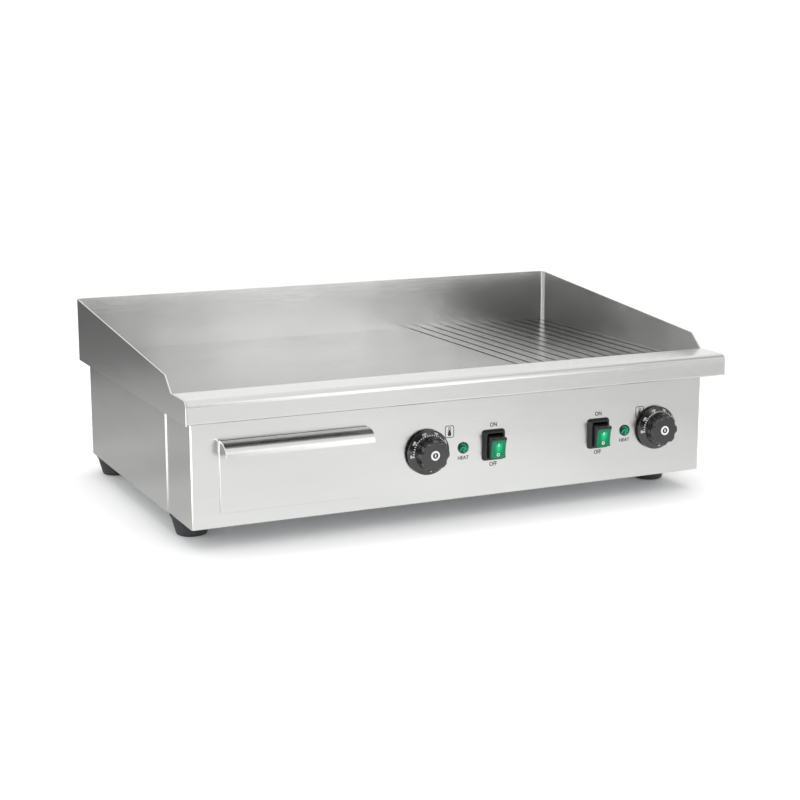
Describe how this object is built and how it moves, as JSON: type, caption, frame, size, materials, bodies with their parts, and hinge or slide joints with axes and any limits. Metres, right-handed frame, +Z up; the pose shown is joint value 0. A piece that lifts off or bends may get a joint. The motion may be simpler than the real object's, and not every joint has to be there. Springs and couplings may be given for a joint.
{
  "type": "electric griddle",
  "caption": "Countertop electric griddle: half-grooved steel plate in a splash guard, folded steel cabinet on rubber feet, grease drawer, temperature dials, rocker switches and pilot lamps.",
  "frame": {"origin": "middle of the overall box in plan, on the surface that the feet stand on", "axes": "+X to the right as seen from the controls, +Y to the back, +Z up"},
  "size_m": [0.73, 0.489, 0.2409],
  "materials": {
    "stainless_sheet": "fine brushed",
    "griddle_steel": "ground and polished",
    "galvanised_sheet": "zinc spangle",
    "fastener_steel": "bright zinc",
    "spring_steel": "plain",
    "element_sheath": "oxidised alloy",
    "capillary_copper": "drawn",
    "thermostat_case": "plated",
    "ceramic_white": "glazed ceramic",
    "gland_nylon": "moulded",
    "wire_insulation": "woven glass sleeve",
    "foot_rubber": "moulded",
    "knob_black": "satin moulded",
    "knob_cap": "satin",
    "switch_black": "moulded",
    "switch_rubber": "moulded",
    "rocker_green": "translucent",
    "lamp_green": "translucent"
  },
  "bodies": {
    "cabinet": {"splash_guard": "stainless_sheet", "front_nose": "stainless_sheet", "grease_gutter": "stainless_sheet", "drain_spout": "stainless_sheet", "griddle_plate": "griddle_steel", "rear_casing": "stainless_sheet", "front_panel": "stainless_sheet", "base_tray": "galvanised_sheet", "drawer_guide": "galvanised_sheet", "heat_shield": "galvanised_sheet", "element_clamp_bars": "galvanised_sheet", "bulb_clips": "spring_steel", "element_studs": "fastener_steel", "element_nuts": "fastener_steel", "foot_bolts": "fastener_steel", "foot_nuts": "fastener_steel", "hob_screws": "fastener_steel", "front_panel_screws": "fastener_steel", "thermostat_screws": "fastener_steel", "earth_stud": "fastener_steel", "heating_element_left": "element_sheath", "heating_element_right": "element_sheath", "capillary_left": "capillary_copper", "capillary_right": "capillary_copper", "thermostat_left": "thermostat_case", "thermostat_right": "thermostat_case", "terminal_block": "ceramic_white", "cable_gland": "gland_nylon", "gland_dome_nut": "gland_nylon", "gland_locknut": "gland_nylon", "wiring_loom": "wire_insulation", "foot_front_left": "foot_rubber", "foot_rear_left": "foot_rubber", "switch_housing_left": "switch_black", "switch_boot_left": "switch_rubber", "pilot_lamp_left": "switch_black", "pilot_lens_left": "lamp_green", "foot_front_right": "foot_rubber", "foot_rear_right": "foot_rubber", "switch_housing_right": "switch_black", "switch_boot_right": "switch_rubber", "pilot_lamp_right": "switch_black", "pilot_lens_right": "lamp_green"},
    "drawer": {"drawer_tray": "stainless_sheet", "drawer_front": "stainless_sheet", "drawer_handle": "stainless_sheet", "handle_rivets": "fastener_steel"},
    "left_knob": {"knob_left": "knob_black", "knob_cap_left": "knob_cap", "thermostat_shaft_left": "fastener_steel"},
    "right_knob": {"knob_right": "knob_black", "knob_cap_right": "knob_cap", "thermostat_shaft_right": "fastener_steel"},
    "left_rocker": {"rocker_left": "switch_black", "rocker_lens_left": "rocker_green"},
    "right_rocker": {"rocker_right": "switch_black", "rocker_lens_right": "rocker_green"}
  },
  "joints": [
    {"name": "drawer_slide", "type": "slide", "parent": "cabinet", "child": "drawer", "axis": [0, -1, 0], "range_m": [0, 0.2]},
    {"name": "left_knob_turn", "type": "hinge", "parent": "cabinet", "child": "left_knob", "pos_m": [-0.05, -0.2145, 0.09], "axis": [0, 1, 0], "range_deg": [0, 300]},
    {"name": "right_knob_turn", "type": "hinge", "parent": "cabinet", "child": "right_knob", "pos_m": [0.28, -0.2145, 0.09], "axis": [0, 1, 0], "range_deg": [0, 300]},
    {"name": "left_rocker_tilt", "type": "hinge", "parent": "cabinet", "child": "left_rocker", "pos_m": [0.042, -0.2105, 0.09], "axis": [-1, 0, 0], "range_deg": [0, 16]},
    {"name": "right_rocker_tilt", "type": "hinge", "parent": "cabinet", "child": "right_rocker", "pos_m": [0.194, -0.2105, 0.09], "axis": [-1, 0, 0], "range_deg": [0, 16]}
  ]
}
